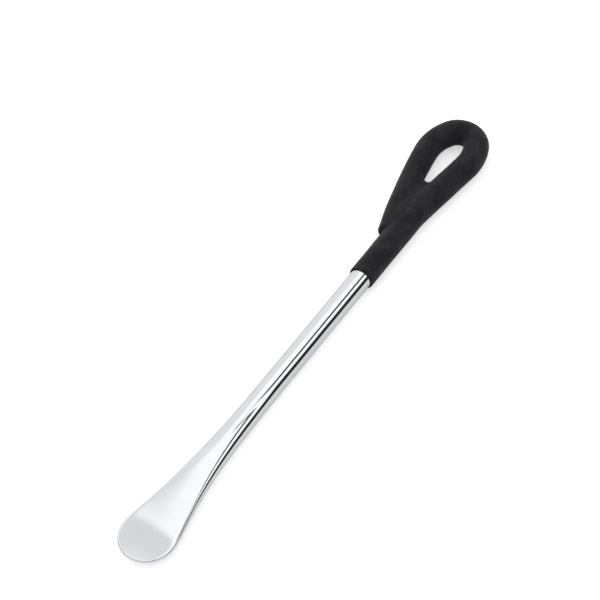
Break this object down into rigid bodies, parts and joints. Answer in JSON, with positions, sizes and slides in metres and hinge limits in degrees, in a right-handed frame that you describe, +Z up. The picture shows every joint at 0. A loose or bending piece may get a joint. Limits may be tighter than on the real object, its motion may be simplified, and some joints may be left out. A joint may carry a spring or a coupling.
{
  "type": "tyre lever",
  "caption": "Spoon-ended tyre lever: a chromed round shank flattened into a blade at the front, its rear bent into a hanging eye under a dipped vinyl grip.",
  "frame": {"origin": "bottom centre of the box round the whole lever, level with the underside of the grip", "axes": "+X along the shank from the blade's tip towards the eye, +Z up out of the blade's face, +Y towards the leg of the eye that comes back to the shank"},
  "size_m": [0.27, 0.0318, 0.011],
  "materials": {
    "chrome_plate": "bright decorative chrome over polished forged steel",
    "weld_steel": "as-welded steel, plated over and hidden under the vinyl",
    "dipped_vinyl": "black dipped vinyl with a fine sandy, matte skin"
  },
  "bodies": {
    "root": {"lever_bar": "chrome_plate", "eye_weld_top": "weld_steel", "eye_weld_bottom": "weld_steel", "grip": "dipped_vinyl"}
  },
  "joints": []
}
